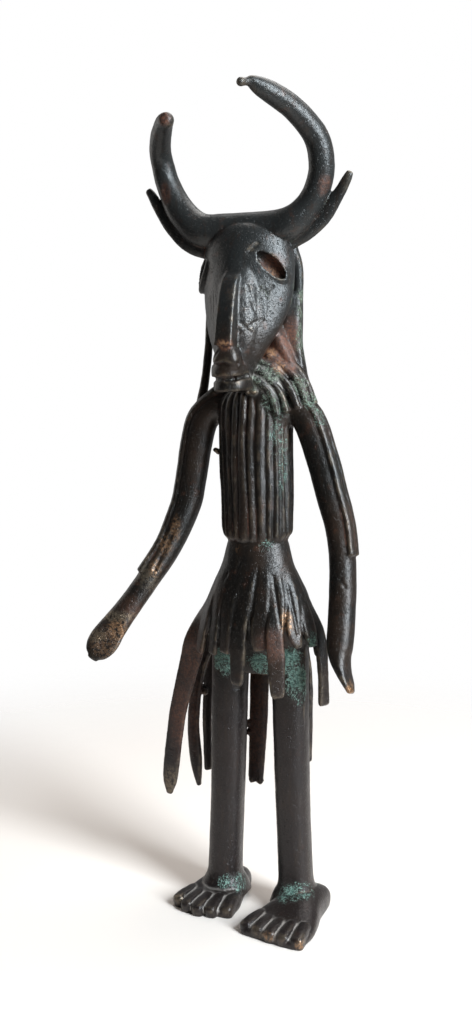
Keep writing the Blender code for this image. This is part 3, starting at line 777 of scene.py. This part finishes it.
# Places on the skin, in millimetres: x, y, z, reach across, reach up and strength
places = {
    "verdigris": [
        (-9.8, -6.4, 102.0, 6.0, 6.5, 1.0), (5.8, -7.2, 102.4, 6.0, 5.0, 1.0),
        (17.7, -6.2, 105.0, 5.5, 6.0, 1.0), (20.4, -5.0, 97.0, 5.5, 8.0, 1.0),
        (22.0, -4.1, 91.0, 3.5, 5.0, 0.7), (27.2, -5.3, 112.0, 3.0, 5.0, 0.9),
        (12.6, -7.6, 198.0, 4.5, 15.0, 0.44), (14.2, -4.6, 180.0, 3.5, 17.0, 0.38),
        (10.2, -9.4, 206.0, 4.0, 5.0, 0.55), (20.8, -5.0, 212.0, 4.5, 4.5, 0.62),
        (24.2, -3.2, 207.0, 4.0, 5.0, 0.66), (28.0, -2.6, 200.6, 3.0, 6.0, 0.6),
        (19.1, 1.9, 229.4, 3.5, 10.0, 0.66), (19.0, 3.0, 243.0, 3.0, 12.0, 0.6),
        (17.0, -3.0, 246.0, 3.0, 8.0, 0.45), (-4.9, -2.5, 8.1, 6.0, 4.5, 0.6),
        (-9.0, -7.0, 9.4, 5.5, 3.5, 0.55), (22.4, -6.1, 10.2, 6.0, 4.5, 0.65),
        (17.0, -9.0, 10.0, 6.0, 3.5, 0.7), (8.9, -7.6, 150.0, 4.0, 4.0, 0.3),
        (6.6, -8.7, 218.5, 4.0, 4.0, 0.68), (10.5, -8.3, 215.8, 5.0, 4.0, 0.66),
        (4.8, -10.5, 213.0, 4.0, 3.5, 0.7), (-6.0, 12.0, 170.0, 8.0, 16.0, 0.5),
        (8.0, 13.0, 226.0, 6.0, 14.0, 0.55), (-12.0, 12.0, 118.0, 8.0, 9.0, 0.6),
        (12.0, 14.0, 108.0, 7.0, 7.0, 0.6), (-14.0, 8.0, 60.0, 5.0, 12.0, 0.5),
        (24.0, 8.0, 12.0, 6.0, 5.0, 0.6), (7.0, -12.0, 246.0, 5.0, 5.0, 0.35),
    ],
    "earth": [
        (14.5, -4.7, 226.0, 5.0, 9.0, 1.0), (16.2, -2.6, 233.0, 4.0, 8.0, 1.0),
        (16.5, -4.6, 219.3, 3.0, 4.0, 0.8), (8.6, -5.2, 224.7, 4.5, 4.5, 1.0),
        (13.0, -6.0, 219.4, 3.5, 4.0, 1.0), (10.6, -8.0, 256.9, 5.0, 5.0, 1.0),
        (-15.4, -4.0, 254.0, 4.0, 5.0, 0.9), (-32.8, -11.6, 285.6, 2.6, 5.0, 0.6),
        (31.9, -10.7, 284.7, 2.8, 4.0, 0.6), (-2.2, -25.6, 226.6, 3.4, 2.2, 1.0),
        (-24.0, -3.0, 100.0, 9.0, 16.0, 0.55), (-31.0, 3.0, 75.0, 8.0, 22.0, 0.55),
        (-4.0, 13.0, 74.0, 6.0, 26.0, 0.5), (14.0, -13.0, 112.0, 7.0, 7.0, 0.5),
        (-14.0, -3.0, 172.0, 3.0, 16.0, 0.4), (-22.9, -33.0, 308.4, 2.8, 2.8, 0.95),
        (0.0, 10.0, 128.0, 14.0, 12.0, 0.4), (-46.0, -18.0, 122.0, 5.0, 6.0, 0.3),
    ],
    "copper": [
        (-52.4, -27.0, 109.6, 7.0, 6.0, 0.28), (-49.0, -24.8, 115.0, 4.4, 4.6, 0.7),
        (-34.3, -10.6, 148.2, 3.0, 5.0, 0.4), (-30.9, -8.4, 155.0, 2.4, 6.0, 0.35),
        (-37.0, -14.3, 139.2, 2.6, 4.0, 0.45), (18.0, -11.4, 120.4, 2.6, 6.0, 0.6),
        (-2.2, -25.6, 226.8, 2.6, 1.4, 0.9), (8.6, -5.2, 224.0, 2.6, 3.0, 0.7),
        (13.0, -6.4, 218.4, 2.6, 3.0, 0.7), (9.6, -9.4, 254.6, 3.6, 2.6, 0.5),
        (45.4, -16.6, 98.6, 2.4, 2.6, 1.0), (-4.0, -10.8, 148.0, 2.0, 2.5, 0.5),
        (31.6, -32.1, 2.2, 2.2, 2.0, 0.8), (18.2, -31.6, 3.0, 3.0, 1.6, 0.5),
        (24.0, -8.6, 128.0, 2.0, 7.0, 0.5),
    ],
    "worn": [
        (-50.0, -22.0, 120.0, 9.0, 2.0, 1.0), (-57.0, -26.4, 112.2, 4.0, 2.4, 0.9),
        (-25.8, -17.8, 4.4, 3.0, 2.2, 0.7), (45.6, -16.6, 97.6, 2.2, 2.4, 1.0),
        (-37.4, -0.4, 45.6, 4.0, 7.0, 0.6), (31.6, -31.0, 2.6, 2.6, 1.6, 0.8),
        (40.0, -7.4, 289.2, 1.6, 1.6, 0.6), (3.4, -10.6, 209.4, 2.2, 1.4, 1.0),
        (-16.0, -1.6, 186.5, 1.8, 1.8, 1.0), (4.6, -15.4, 262.6, 1.5, 0.9, 0.9),
        (6.6, -14.6, 264.4, 1.1, 0.7, 0.8), (-41.0, -13.0, 134.0, 5.0, 7.0, 0.5),
        (29.0, -4.0, 92.0, 3.0, 14.0, 0.4), (16.6, -30.0, 2.2, 6.0, 1.4, 0.5),
        (0.8, -24.4, 246.0, 2.6, 3.0, 0.3),
    ],
    "dusty": [
        (-15.0, -15.0, 4.6, 18.0, 4.2, 1.0), (18.0, -27.0, 4.8, 18.0, 4.4, 1.0),
        (6.0, -16.0, 238.0, 7.0, 16.0, 0.12), (-8.0, -16.0, 236.0, 5.0, 12.0, 0.8),
        (6.0, -12.0, 252.0, 6.0, 5.0, 0.3), (2.0, -16.0, 268.0, 8.0, 6.0, 0.2),
        (8.0, -9.0, 214.0, 9.0, 7.0, 0.6), (0.0, 0.0, 90.0, 30.0, 20.0, 0.15),
        (10.0, 4.0, 5.0, 20.0, 5.0, 0.4),
    ],
    "pitted": [
        (5.0, -18.0, 240.0, 5.0, 14.0, 1.0), (9.0, -14.0, 244.0, 5.0, 9.0, 0.8),
        (7.0, -9.0, 216.0, 8.0, 8.0, 1.0), (20.0, -4.0, 210.0, 8.0, 8.0, 0.8),
        (14.0, -4.0, 224.0, 6.0, 10.0, 0.5), (-9.0, -6.0, 102.0, 7.0, 7.0, 0.8),
        (19.0, -5.0, 99.0, 7.0, 12.0, 0.8), (-52.0, -26.0, 111.0, 7.0, 7.0, 0.7),
        (12.0, -7.0, 190.0, 6.0, 20.0, 0.5), (-6.0, -4.0, 9.0, 8.0, 4.0, 0.6),
        (20.0, -8.0, 10.0, 8.0, 4.0, 0.6), (6.0, -14.0, 262.0, 5.0, 5.0, 0.5),
    ],
}

# cuts and dents: start, end, half width and depth
marks = [
    ((1.9, -20.7, 231.9), (6.2, -17.3, 234.6), 0.50, 0.45),
    ((2.9, -20.3, 234.5), (5.4, -18.3, 231.6), 0.50, 0.45),
    ((6.6, -16.9, 235.2), (9.0, -14.6, 236.4), 0.45, 0.30),
    ((3.9, -15.8, 261.6), (6.8, -14.4, 264.6), 0.60, 0.45),
    ((4.4, -18.7, 248.4), (6.3, -16.9, 240.4), 0.55, 0.32),
    ((9.6, -14.2, 246.4), (12.2, -12.2, 248.6), 0.50, 0.35),
    ((40.4, -10.4, 141.2), (39.2, -10.6, 138.4), 0.50, 0.35),
    ((39.2, -10.6, 138.4), (41.0, -10.0, 135.6), 0.50, 0.35),
    ((-15.6, -4.8, 91.2), (-3.8, -5.2, 90.6), 0.60, 0.28),
    ((-33.4, -12.0, 289.0), (-32.8, -12.0, 283.0), 0.90, 0.40),
    ((-23.4, -34.0, 309.0), (-22.6, -34.0, 308.2), 0.90, 0.45),
    ((-1.4, -10.8, 142.8), (-10.4, -12.2, 112.0), 0.50, 0.40),
    ((6.2, -11.6, 141.0), (3.4, -15.4, 112.0), 0.50, 0.40),
    ((12.0, -10.0, 138.0), (16.2, -13.0, 118.0), 0.50, 0.45),
    ((17.2, -7.4, 135.0), (22.0, -9.8, 116.0), 0.50, 0.40),
    ((-7.0, -9.6, 138.0), (-17.0, -9.4, 112.0), 0.50, 0.35),
    ((-31.2, -9.2, 154.0), (-37.2, -14.2, 138.6), 0.60, 0.60),
    ((-54.2, -27.9, 109.4), (-50.4, -25.8, 113.2), 2.4, 0.9),
    ((-10.4, -16.5, 214.3), (-7.6, -22.6, 214.0), 0.55, 0.85),
    ((-7.6, -22.6, 214.0), (-3.4, -25.0, 213.9), 0.55, 0.85),
    ((-3.4, -25.0, 213.9), (1.2, -22.6, 214.2), 0.55, 0.85),
    ((1.2, -22.6, 214.2), (4.2, -16.5, 215.6), 0.55, 0.85),
    ((-7.8, -23.6, 219.4), (-3.2, -26.2, 219.5), 0.60, 0.70),
    ((-3.2, -26.2, 219.5), (2.6, -23.2, 219.8), 0.60, 0.70),
    ((-7.2, -24.0, 221.0), (-4.4, -25.6, 225.4), 0.40, 0.35),
    ((2.4, -22.8, 221.0), (0.0, -24.2, 225.6), 0.40, 0.35),
    ((-13.4, -12.4, 246.0), (-11.6, -15.6, 228.0), 0.35, 0.28),
    ((-11.6, -14.2, 247.0), (-10.2, -17.0, 228.0), 0.35, 0.28),
    ((-9.6, -16.0, 246.0), (-8.6, -18.6, 230.0), 0.35, 0.26),
]

reliefLook = {"swell": 0.12, "swellSize": 6.5, "ripple": 0.05, "rippleSize": 2.0, "pit": 0.16, "pitSize": 1.1}


def nearness(points, spots):
    share = np.zeros(len(points))
    for x, y, z, across, up, strength in spots:
        away = np.linalg.norm((points - (x, y, z)) / (across, across, up), axis=1)
        near = np.clip((1.25 - away) / 0.75, 0.0, 1.0)
        share = np.maximum(share, strength * near * near * (3.0 - 2.0 * near))
    return share


def pointsOf(mesh):
    flat = np.empty(len(mesh.vertices) * 3, np.float32)
    mesh.vertices.foreach_get("co", flat)
    normals = np.empty(len(mesh.vertices) * 3, np.float32)
    mesh.vertices.foreach_get("normal", normals)
    return flat.reshape(-1, 3) / mm - np.array(footprintShift), normals.reshape(-1, 3).astype(float)


def handWorked(figure):
    # the uneven skin of hand-modelled wax, its pits, and the cuts made in it
    look = reliefLook
    mesh = figure.data
    points, normals = pointsOf(mesh)
    pitted = nearness(points, places["pitted"])
    push = np.empty(len(points))
    for index, point in enumerate(points):
        spot = Vector(point)
        push[index] = (look["swell"] * noise.noise(spot / look["swellSize"])
                       + look["ripple"] * noise.noise(spot / look["rippleSize"]))
        if pitted[index] > 0.0:
            grain = noise.noise(spot / look["pitSize"]) + 0.5 * noise.noise(spot / look["pitSize"] * 1.9)
            push[index] += pitted[index] * look["pit"] * (abs(grain) * -1.6 + 0.2)
    for start, end, half, depth in marks:
        start, end = np.array(start), np.array(end)
        along = end - start
        share = np.clip((points - start) @ along / (along @ along), 0.0, 1.0)
        away = np.linalg.norm(points - start - share[:, None] * along, axis=1)
        inside = np.clip(1.0 - (away / (half * 2.4)) ** 2, 0.0, 1.0)
        push -= depth * inside ** 2
    points = (points + normals * push[:, None] + np.array(footprintShift)) * mm
    mesh.vertices.foreach_set("co", points.astype(np.float32).ravel())
    mesh.update()


def relaxed(points, pairs, count, rounds):
    degree = np.bincount(pairs.ravel(), minlength=count)[:, None]
    first, second = pairs[:, 0], pairs[:, 1]
    for step in range(rounds):
        total = np.stack([np.bincount(first, points[second, axis], count)
                          + np.bincount(second, points[first, axis], count) for axis in range(3)], axis=1)
        points = total / degree
    return points


def skinMarks(figure):
    # what the finish follows: hollows and high edges of the skin, and the places above
    mesh = figure.data
    points, normals = pointsOf(mesh)
    count = len(points)
    pairs = np.empty(len(mesh.edges) * 2, np.int32)
    mesh.edges.foreach_get("vertices", pairs)
    pairs = pairs.reshape(-1, 2)
    fine = relaxed(points, pairs, count, 6)
    broad = relaxed(fine, pairs, count, 24)
    layers = {name: nearness(points, spots) for name, spots in places.items()}
    layers["hollow"] = np.clip(np.einsum("ij,ij->i", fine - points, normals) / 0.16, -1.0, 1.0)
    layers["broadHollow"] = np.clip(np.einsum("ij,ij->i", broad - points, normals) / 0.45, -1.0, 1.0)
    for name, values in layers.items():
        layer = mesh.attributes.new(name, "FLOAT", "POINT")
        layer.data.foreach_set("value", values.astype(np.float32))


figure = castFigure()
handWorked(figure)
skinMarks(figure)
standOnFloor(figure)
thinned(figure)
withoutCrumbs(figure)
figure.data.shade_smooth()


# Bronze

class Value:
    # a socket that takes part in ordinary sums
    def __init__(self, finish, socket):
        self.finish = finish
        self.socket = socket

    def sum(self, kind, a, b, clamp=False):
        return self.finish.node("ShaderNodeMath", {"operation": kind, "use_clamp": clamp}, {0: a, 1: b})

    def __add__(self, other):
        return self.sum("ADD", self, other)

    __radd__ = __add__

    def __sub__(self, other):
        return self.sum("SUBTRACT", self, other)

    def __rsub__(self, other):
        return self.sum("SUBTRACT", other, self)

    def __mul__(self, other):
        return self.sum("MULTIPLY", self, other)

    __rmul__ = __mul__

    def held(self):  # kept between 0 and 1
        return self.sum("ADD", self, 0.0, clamp=True)

    def larger(self, other):
        return self.sum("MAXIMUM", self, other)

    def between(self, low, high):  # 0 at low, 1 at high, smooth between
        return self.finish.node("ShaderNodeMapRange", {"interpolation_type": "SMOOTHSTEP"},
                                {"Value": self, "From Min": low, "From Max": high})


class Finish:
    # the nodes of one material, or of the room
    def __init__(self, owner, shader="Principled BSDF"):
        owner.use_nodes = True
        self.tree = owner.node_tree
        self.shader = self.tree.nodes[shader]

    def node(self, kind, settings=None, values=None, output=0):
        made = self.tree.nodes.new(kind)
        for key, value in (settings or {}).items():
            setattr(made, key, value)
        for key, value in (values or {}).items():
            self.feed(made.inputs[key], value)
        return Value(self, made.outputs[output])

    def feed(self, socket, value):
        if isinstance(value, Value):
            self.tree.links.new(value.socket, socket)
        else:
            socket.default_value = value

    def set(self, **values):
        for key, value in values.items():
            self.feed(self.shader.inputs[key.replace("_", " ")], value)

    def seen(self, output, surface):  # the shader that the output shows
        self.feed(self.tree.nodes[output].inputs["Surface"], surface)

    def coords(self):
        return self.node("ShaderNodeTexCoord", output="Object")

    def noise(self, scale, detail=3.0, roughness=0.55, stretch=None):
        place = self.coords()
        if stretch:
            place = self.node("ShaderNodeMapping", values={"Vector": place, "Scale": stretch})
        return self.node("ShaderNodeTexNoise", values={"Vector": place, "Scale": scale, "Detail": detail,
                                                       "Roughness": roughness})

    def layer(self, name):
        return self.node("ShaderNodeAttribute", {"attribute_name": name}, output="Fac")

    def mixed(self, share, first, second):  # two colours, or a colour laid over another
        return self.node("ShaderNodeMix", {"data_type": "RGBA"}, {0: share, 6: first, 7: second}, output=2)


bronzeLook = {
    "metal": 0.30, "gloss": 0.24, "reliefStrength": 0.7, "reliefDepth": 0.00028,
    "blackBrown": (0.0085, 0.0072, 0.0060, 1), "warmBrown": (0.024, 0.0155, 0.011, 1),
    "blueBlack": (0.024, 0.0255, 0.025, 1), "paintedShadeBlack": (0.008, 0.007, 0.006, 1),
    "legBrown": (0.0145, 0.0102, 0.0098, 1), "earth": (0.135, 0.050, 0.026, 1), "darkEarth": (0.050, 0.021, 0.014, 1),
    "copper": (0.34, 0.185, 0.095, 1), "brass": (0.30, 0.235, 0.165, 1), "verdigris": (0.036, 0.092, 0.075, 1),
    "paleVerdigris": (0.17, 0.29, 0.24, 1), "dust": (0.36, 0.33, 0.30, 1),
    "paleLichen": (0.150, 0.180, 0.125, 1), "darkLichen": (0.022, 0.034, 0.022, 1),
}


def bronzeFinish():
    look = bronzeLook
    material = bpy.data.materials.new("darkBronze")
    metal = Finish(material)
    height = metal.node("ShaderNodeSeparateXYZ", values={0: metal.coords()}, output="Z")
    hollow, broad = metal.layer("hollow"), metal.layer("broadHollow")
    cloudy, mottled = metal.noise(55.0), metal.noise(240.0, 4.0, 0.6)
    speckled, grainy = metal.noise(900.0, 3.0, 0.65), metal.noise(2600.0, 2.0, 0.6)
    streaked = metal.noise(420.0, 4.0, 0.6, stretch=(1.0, 1.0, 0.14))

    # the dark skin, bluer on the head and browner on the legs, with painted shade darkening its hollows and grooves
    dark = metal.mixed(cloudy.between(0.40, 0.66), look["blackBrown"], look["warmBrown"])
    dark = metal.mixed(height.between(0.215, 0.255) * 0.85, dark, look["blueBlack"])
    dark = metal.mixed((1.0 - height.between(0.070, 0.115)) * 0.8, dark, look["legBrown"])
    reddish = height.between(0.085, 0.125) * 0.16 + 0.06
    dark = metal.mixed(mottled.between(0.56, 0.74) * reddish, dark, look["earth"])
    dark = metal.mixed(streaked.between(0.50, 0.72) * 0.55, dark, look["warmBrown"])
    dark = metal.mixed(speckled.between(0.62, 0.72) * 0.07, dark, look["dust"])
    # painted shade: hollows, creases and grooves are darkened towards black, where shade falls
    dark = metal.mixed((hollow.between(0.10, 0.80) * 0.7).held(), dark, look["paintedShadeBlack"])

    # edges and places rubbed back to the metal
    edge = (hollow * -1.0).between(0.22, 0.85) * mottled.between(0.42, 0.62)
    rubbed = (edge * 0.30).larger(metal.layer("worn") * speckled.between(0.36, 0.60)).held()
    skin = metal.mixed(rubbed * 0.7, dark, look["brass"])

    # brown soil, with bare copper in it
    soil = (metal.layer("earth") * (mottled.between(0.30, 0.56) * 0.6 + 0.55)
            + hollow.between(0.15, 0.9) * cloudy.between(0.52, 0.66) * 0.55).held()
    soilColour = metal.mixed(speckled.between(0.36, 0.62), look["darkEarth"], look["earth"])
    skin = metal.mixed(soil * 0.9, skin, soilColour)
    bare = (metal.layer("copper") * speckled.between(0.40, 0.60)).held()
    skin = metal.mixed(bare, skin, look["copper"])

    # verdigris in grains, thicker in its own places
    patina = metal.layer("verdigris") + broad.between(0.30, 1.0) * 0.16
    grains = (speckled - 0.5) * 1.5 + (grainy - 0.5) * 2.6 + (mottled - 0.5) * 1.9
    green = (patina * 0.85 - 0.52 + grains).between(0.0, 0.30) * patina.between(0.02, 0.30)
    pale = (grainy * 0.5 + speckled * 0.5).between(0.46, 0.60)
    greenColour = metal.mixed(pale, look["verdigris"], look["paleVerdigris"])
    collarColour = metal.mixed(pale, look["darkLichen"], look["paleLichen"])
    greenColour = metal.mixed(height.between(0.190, 0.212) * 0.9, greenColour, collarColour)
    skin = metal.mixed(green * 0.92, skin, greenColour)
    dust = (metal.layer("dusty") * hollow.between(0.05, 0.7) * 0.9
            + metal.layer("pitted") * grainy.between(0.54, 0.66) * 0.35).held()
    skin = metal.mixed(dust * 0.8, skin, look["dust"])

    matt = (soil * 0.30 + green * 0.45 + bare * 0.05 + dust * 0.2).held()
    uneven = metal.noise(420.0, 3.0, 0.6)
    metal.set(Base_Color=skin,
              Metallic=(look["metal"] + rubbed * 0.55 + bare * 0.35 - green * 0.30 - soil * 0.25).held(),
              Roughness=(look["gloss"] + uneven * 0.16 + matt - rubbed * 0.05).held(),
              IOR=1.5)
    pits = 1.0 - metal.noise(1300.0, 2.0, 0.6).between(0.22, 0.42)
    rise = uneven * 0.5 + speckled * 0.6 + grainy * 0.4 + green * 0.5 + soil * 0.25 - pits * 0.7
    metal.set(Normal=metal.node("ShaderNodeBump", values={
        "Strength": look["reliefStrength"], "Distance": look["reliefDepth"], "Height": rise}))
    return material


figure.data.materials.clear()
figure.data.materials.append(bronzeFinish())
print("bronze, soil and verdigris laid on")

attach(figure, "root")
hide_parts("bronze_figure")


# Floor, light and camera

floorLook = {"radius": 1.5, "colour": (0.86, 0.78, 0.715, 1), "roughness": 0.8, "fade": (0.13, 0.42)}
roomLook = {"strength": 0.40, "front": (0.115, 0.115, 0.12, 1), "back": (0.80, 0.80, 0.80, 1),
            "backdrop": (1.0, 1.0, 1.0, 1)}
# each light's place, the height it aims at, its size, power and colour
lightLook = {
    "windowLight": ((0.80, -0.34, 0.52), 0.17, (0.34, 0.75), 24.5, (0.84, 0.93, 1.0)),
    "overheadLight": ((0.10, 0.35, 0.95), 0.16, (0.7, 0.5), 4.0, (1.0, 0.98, 0.96)),
    "sideFill": ((-0.85, 0.15, 0.40), 0.16, (0.5, 0.7), 1.4, (1.0, 0.97, 0.93)),
}
cameraLook = {"lens": 37.27, "place": (0.15878, -0.38231, 0.205), "way": (-0.37266, 0.92236, -0.10192)}


def floor():
    # a pale disc that melts into the backdrop away from the figure
    look = floorLook
    bm = bmesh.new()
    bmesh.ops.create_circle(bm, cap_ends=True, segments=96, radius=look["radius"])
    mesh = bpy.data.meshes.new("floor")
    bm.to_mesh(mesh)
    bm.free()
    material = bpy.data.materials.new("paleFloor")
    pale = Finish(material)
    pale.set(Base_Color=look["colour"], Roughness=look["roughness"])
    away = pale.node("ShaderNodeVectorMath", {"operation": "LENGTH"}, {0: pale.coords()}, output="Value")
    clear = pale.node("ShaderNodeBsdfTransparent")
    pale.seen("Material Output", pale.node("ShaderNodeMixShader", values={
        0: away.between(*look["fade"]), 1: Value(pale, pale.shader.outputs[0]), 2: clear}))
    mesh.materials.append(material)
    return objectFrom(mesh, "floor")


floor()


def aimed(made, place, way):
    made.location = place
    made.rotation_euler = Vector(way).to_track_quat("-Z", "Y").to_euler()
    bpy.context.scene.collection.objects.link(made)


for name, (place, height, size, power, colour) in lightLook.items():
    lamp = bpy.data.lights.new(name, "AREA")
    lamp.shape = "RECTANGLE"
    lamp.size, lamp.size_y = size
    lamp.energy = power
    lamp.color = colour
    aimed(bpy.data.objects.new(name, lamp), place, Vector((0.0, 0.0, height)) - Vector(place))

# the room: pale behind the figure, dim in front, and plain white to the eye
world = bpy.data.worlds.new("paleRoom")
room = Finish(world, "Background")
around = room.node("ShaderNodeTexCoord", output="Generated")
depth = room.node("ShaderNodeSeparateXYZ", values={0: around}, output="Y")
room.set(Color=room.mixed(depth.between(-0.35, 0.65), roomLook["front"], roomLook["back"]),
         Strength=roomLook["strength"])
room.seen("World Output", room.node("ShaderNodeMixShader", values={
    0: room.node("ShaderNodeLightPath", output="Is Camera Ray"),
    1: Value(room, room.shader.outputs[0]),
    2: room.node("ShaderNodeBackground", values={"Color": roomLook["backdrop"]})}))
bpy.context.scene.world = world
bpy.context.scene.view_settings.view_transform = "Standard"

lens = bpy.data.cameras.new("camera")
lens.lens = cameraLook["lens"]
lens.sensor_width = 36.0
lens.clip_start = 0.01
camera = bpy.data.objects.new("camera", lens)
aimed(camera, cameraLook["place"], cameraLook["way"])
bpy.context.scene.camera = camera
print("floor, light and camera set")
